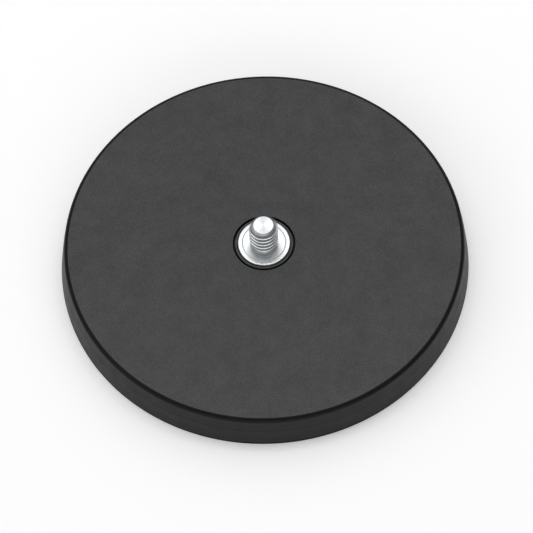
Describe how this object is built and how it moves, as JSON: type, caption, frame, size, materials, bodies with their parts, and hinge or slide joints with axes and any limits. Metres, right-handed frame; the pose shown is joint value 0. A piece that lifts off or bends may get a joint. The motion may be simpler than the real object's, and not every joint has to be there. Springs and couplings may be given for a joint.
{
  "type": "pot magnet",
  "caption": "Flat round rubber-covered pot magnet with a short flanged threaded stud standing in the centre of its upper face.",
  "frame": {"origin": "centre of the magnetic face, on the surface that the magnet holds on to", "axes": "+Z along the stud's axis, away from the magnetic face; X and Y are free on a round part"},
  "size_m": [0.088, 0.088, 0.0161],
  "materials": {
    "rubber": "matt black moulded rubber, fine grain",
    "zinc_plated_steel": "bright zinc plating on turned steel",
    "plate_steel": "plain mild steel sheet",
    "magnet": "nickel-plated neodymium magnet"
  },
  "bodies": {
    "root": {"rubber_jacket": "rubber", "threaded_stud": "zinc_plated_steel", "back_plate": "plate_steel", "magnet_outer_01": "magnet", "magnet_outer_02": "magnet", "magnet_outer_03": "magnet", "magnet_outer_04": "magnet", "magnet_outer_05": "magnet", "magnet_outer_06": "magnet", "magnet_outer_07": "magnet", "magnet_outer_08": "magnet", "magnet_outer_09": "magnet", "magnet_outer_10": "magnet", "magnet_outer_11": "magnet", "magnet_outer_12": "magnet", "magnet_inner_01": "magnet", "magnet_inner_02": "magnet", "magnet_inner_03": "magnet", "magnet_inner_04": "magnet", "magnet_inner_05": "magnet", "magnet_inner_06": "magnet"}
  },
  "joints": []
}
